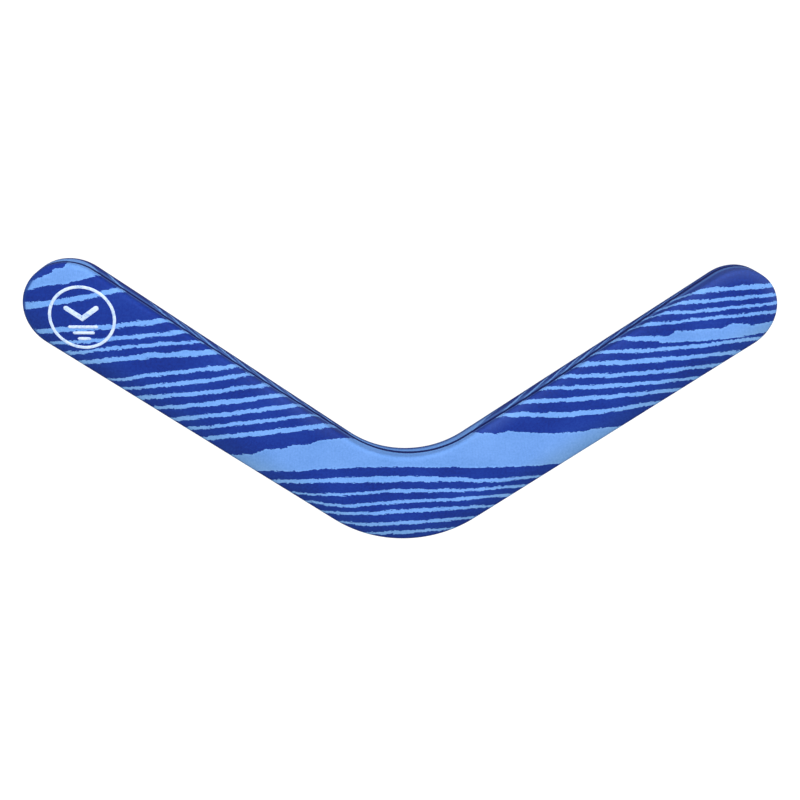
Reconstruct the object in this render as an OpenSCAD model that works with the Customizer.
// Soft V boomerang, as it is assembled: two moulded foam halves bonded face to face at mid
// thickness, each half under a printed knit skin that turns down to the seam round the rim,
// and a heat-transfer emblem on one tip.
// The part lies flat. Z is its thickness, the V opens towards +Y and its elbow points to -Y.

/* [Outline] */
// Angle of each arm above the X axis
arm_angle = 36; // [28:0.5:44]
// Length from the elbow's vertex to the centre of each round tip
arm_length = 219; // [170:1:270]
// Width of each arm
chord = 46.5; // [42:0.5:56]
// Radius of the elbow's outer corner
elbow_outer_r = 70; // [55:1:85]
// Radius of the elbow's inner corner
elbow_inner_r = 55; // [40:1:70]

/* [Thickness] */
// Thickness of the finished boomerang
thickness = 16; // [13:0.5:22]
// Radius of the shoulders where the faces turn down into the rim
shoulder_r = 3.2; // [2.6:0.2:4]

/* [Skins and seam] */
// Thickness of the printed knit skins
skin_t = 1; // [0.8:0.1:1.4]
// Radius of each skin's turned edge at the seam
seam_r = 0.6; // [0.3:0.1:0.6]
// Thickness of the adhesive film between the foam halves
bond_t = 0.4; // [0.2:0.1:0.8]
// How far behind the skins' turned edges the film ends
bond_back = 0.1; // [0.1:0.05:0.2]

/* [Emblem] */
// Outer diameter of the emblem's ring
emblem_d = 34; // [20:1:34]
// Width of the ring and of the strokes inside it
stroke_w = 1.6; // [1:0.2:2]
// Distance from the tip's centre to the emblem's centre, towards the elbow
emblem_back = 8; // [0:1:20]
// Thickness of the heat-transfer film
emblem_t = 0.2; // [0.1:0.05:0.4]

/* [Hidden] */

// Steps round each side of the elbow, round a tip, over a shoulder and over a seam edge
elbow_steps = 8;
tip_steps = 22;
shoulder_steps = 5;
seam_steps = 2;

// The emblem's proportions, as shares of its ring's outer radius
v_leg_share = 0.62;     // length of each leg of the V
v_drop_share = 0.12;    // drop of the V's point below the centre
dash_drop_share = 0.2;  // drop of the row of dashes
dash_share = 0.9;       // length of the first dash
dash_step_share = 0.25; // how much shorter each next dash is
dash_count = 3;
circle_sides = 96;

half_chord = chord / 2;
half_t = thickness / 2;
// Height of one half above the bond's face
half_h = half_t - bond_t / 2;
// Centres of the elbow's two arcs, both on the Y axis, and the tips' centre
outer_cy = (elbow_outer_r - half_chord) / cos(arm_angle);
inner_cy = (elbow_inner_r + half_chord) / cos(arm_angle);
tip_centre = along(arm_angle, arm_length);
// Middle of the whole outline in Y, which becomes the part's origin
mid_y = (outer_cy - elbow_outer_r + tip_centre.y + half_chord) / 2;

function along(a, d) = [d * cos(a), d * sin(a)];
function reverse(list) = [for (i = [len(list) - 1:-1:0]) list[i]];
function arc(centre, r, from, to, steps) =
    [for (i = [0:steps]) centre + along(from + (to - from) * i / steps, r)];

// The +X half of the V's outline, "inset" inside the finished rim: out along the elbow's
// outer arc, round the tip and back along the inner arc. Straight edges join the arcs.
function half_outline(inset) = concat(
    arc([0, outer_cy], elbow_outer_r - inset, -90, arm_angle - 90, elbow_steps),
    arc(tip_centre, half_chord - inset, arm_angle - 90, arm_angle + 90, tip_steps),
    arc([0, inner_cy], elbow_inner_r + inset, arm_angle - 90, -90, elbow_steps)
);
axis_i = 2 * elbow_steps + tip_steps + 2; // where the half outline meets the Y axis again
ring_n = 2 * axis_i;                      // points round the whole V

function ring(inset, z) =
    let (half = half_outline(inset))
    concat(
        [for (p = half) [p.x, p.y, z]],
        [for (i = [axis_i - 1:-1:1]) [-half[i].x, half[i].y, z]]
    );

// Flat faces that close one ring: a strip over the elbow, the arm and the round tip
half_cap = concat(
    [for (i = [0:elbow_steps - 1]) [i, i + 1, axis_i - i - 1, axis_i - i]],
    [[elbow_steps, elbow_steps + 1, axis_i - elbow_steps - 1, axis_i - elbow_steps]],
    [[for (i = [0:tip_steps]) elbow_steps + 1 + i]]
);
function mirrored(face) = [for (i = reverse(face)) (ring_n - i) % ring_n];
cap = concat(half_cap, [for (face = half_cap) mirrored(face)]);

// A V-shaped solid through a list of [inset, z] stations, closed at the first and the last.
// The list runs from a face that looks down to a face that looks up.
module v_loft(stations) {
    top = (len(stations) - 1) * ring_n;
    sides = [
        for (k = [0:len(stations) - 2], i = [0:ring_n - 1])
            let (low = k * ring_n, high = low + ring_n, next = (i + 1) % ring_n)
            [low + i, high + i, high + next, low + next]
    ];
    lids = concat(cap, [for (face = cap) [for (i = reverse(face)) top + i]]);
    polyhedron([for (s = stations) each ring(s[0], s[1])], concat(sides, lids));
}

// Stations over a shoulder of radius r that ends in a face at height z
function shoulder(inset, z, r) =
    [for (i = [0:shoulder_steps]) let (a = 90 * i / shoulder_steps)
        [inset + r * (1 - cos(a)), z - r * (1 - sin(a))]];

// Stations over the skin's turned edge, from its foot on the bond's face to the rim's wall
seam_edge =
    [for (i = [0:seam_steps]) let (a = 90 * i / seam_steps)
        [seam_r * (1 - sin(a)), seam_r * (1 - cos(a))]];

// The foam fills the skin: its stations, run backwards, are the inside of the skin
foam_stations = concat([[skin_t, 0]], shoulder(skin_t, half_h - skin_t, shoulder_r - skin_t));
skin_stations = concat(reverse(foam_stations), seam_edge, shoulder(0, half_h, shoulder_r));
film_stations = [[seam_r + bond_back, 0], [seam_r + bond_back, bond_t]];

// Puts a half that is drawn upwards from the bond's face in its place above the film
module in_upper_half() {
    translate([0, -mid_y, half_t + bond_t / 2]) children();
}

// The same half turned over, below the film
module in_lower_half() {
    translate([0, -mid_y, half_t - bond_t / 2]) mirror([0, 0, 1]) children();
}

module upper_skin() {
    color("royalblue") in_upper_half() v_loft(skin_stations);
}

module upper_foam() {
    color("slategray") in_upper_half() v_loft(foam_stations);
}

module bond_film() {
    color("midnightblue") translate([0, -mid_y, half_t - bond_t / 2]) v_loft(film_stations);
}

module lower_foam() {
    color("slategray") in_lower_half() v_loft(foam_stations);
}

module lower_skin() {
    color("royalblue") in_lower_half() v_loft(skin_stations);
}

// The emblem's mark: a small open V over three shortening dashes, inside a plain ring
module emblem_mark() {
    reach = emblem_d / 2;
    right_end = along(arm_angle, reach * v_leg_share);
    left_end = [-right_end.x, right_end.y];
    rise = [0, 2 * stroke_w];
    dash_pitch = 2 * stroke_w;
    difference() {
        circle(reach, $fn = circle_sides);
        circle(reach - stroke_w, $fn = circle_sides);
    }
    translate([0, -reach * v_drop_share])
        polygon([[0, 0], right_end, right_end + rise, rise, left_end + rise, left_end]);
    for (i = [0:dash_count - 1])
        translate([0, -reach * dash_drop_share - (i + 0.5) * dash_pitch])
            square([reach * (dash_share - dash_step_share * i), stroke_w], center = true);
}

module tip_emblem() {
    place = along(180 - arm_angle, arm_length - emblem_back);
    color("white") translate([place.x, place.y - mid_y, thickness])
        linear_extrude(emblem_t) emblem_mark();
}

upper_skin();
upper_foam();
bond_film();
lower_foam();
lower_skin();
tip_emblem();
